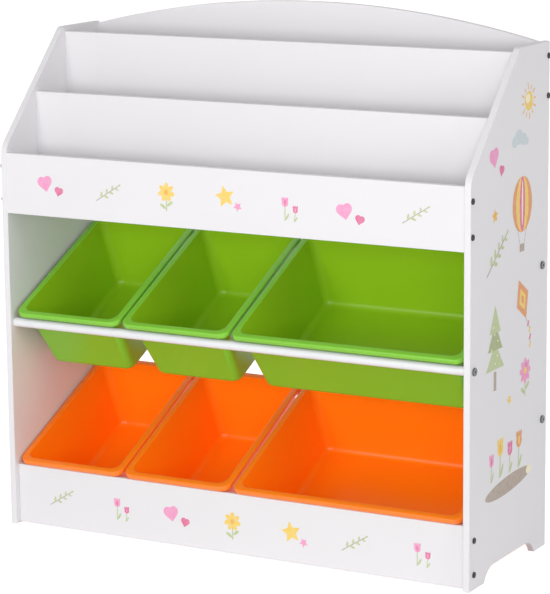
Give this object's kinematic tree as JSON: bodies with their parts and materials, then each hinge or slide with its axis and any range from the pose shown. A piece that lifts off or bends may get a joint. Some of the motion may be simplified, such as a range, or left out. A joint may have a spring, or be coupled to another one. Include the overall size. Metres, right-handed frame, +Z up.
{
  "type": "toy storage organizer with bins",
  "caption": "Children's toy organizer: arched back, sloped side panels, stepped book pockets on top and tilted lift-out bins hung between rods below.",
  "frame": {"origin": "on the floor, in the middle of the width and of the depth", "axes": "+Z up from the floor, -Y towards the open front with the bins, +X to the right seen from the front"},
  "size_m": [0.936, 0.3208, 0.9529],
  "materials": {
    "white_board": "satin",
    "white_rod": "satin",
    "green_plastic": "satin",
    "orange_plastic": "satin",
    "black_screw": "satin",
    "bolt_steel": "satin",
    "insert_steel": "satin",
    "dowel_wood": "matte"
  },
  "bodies": {
    "organizer_frame": {"left_side_panel": "white_board", "right_side_panel": "white_board", "back_panel": "white_board", "upper_front_panel": "white_board", "middle_divider_panel": "white_board", "rear_divider_panel": "white_board", "front_pocket_floor": "white_board", "middle_pocket_floor": "white_board", "rear_pocket_floor": "white_board", "bottom_front_panel": "white_board", "upper_front_rod": "white_rod", "upper_rear_rod": "white_rod", "lower_rear_rod": "white_rod", "rod_end_inserts": "insert_steel", "left_rod_bolts": "bolt_steel", "right_rod_bolts": "bolt_steel", "left_panel_screws": "black_screw", "right_panel_screws": "black_screw", "left_panel_dowels": "dowel_wood", "right_panel_dowels": "dowel_wood"},
    "upper_left_bin_body": {"upper_left_bin": "green_plastic"},
    "upper_middle_bin_body": {"upper_middle_bin": "green_plastic"},
    "upper_large_bin_body": {"upper_large_bin": "green_plastic"},
    "lower_left_bin_body": {"lower_left_bin": "orange_plastic"},
    "lower_middle_bin_body": {"lower_middle_bin": "orange_plastic"},
    "lower_large_bin_body": {"lower_large_bin": "orange_plastic"}
  },
  "joints": [
    {"name": "lift_upper_left_bin", "type": "slide", "parent": "organizer_frame", "child": "upper_left_bin_body", "axis": [0, -0.4321, 0.9018], "range_m": [0, 0.105]},
    {"name": "lift_upper_middle_bin", "type": "slide", "parent": "organizer_frame", "child": "upper_middle_bin_body", "axis": [0, -0.4321, 0.9018], "range_m": [0, 0.105]},
    {"name": "lift_upper_large_bin", "type": "slide", "parent": "organizer_frame", "child": "upper_large_bin_body", "axis": [0, -0.4321, 0.9018], "range_m": [0, 0.105]},
    {"name": "lift_lower_left_bin", "type": "slide", "parent": "organizer_frame", "child": "lower_left_bin_body", "axis": [0, -0.4321, 0.9018], "range_m": [0, 0.105]},
    {"name": "lift_lower_middle_bin", "type": "slide", "parent": "organizer_frame", "child": "lower_middle_bin_body", "axis": [0, -0.4321, 0.9018], "range_m": [0, 0.105]},
    {"name": "lift_lower_large_bin", "type": "slide", "parent": "organizer_frame", "child": "lower_large_bin_body", "axis": [0, -0.4321, 0.9018], "range_m": [0, 0.105]}
  ]
}
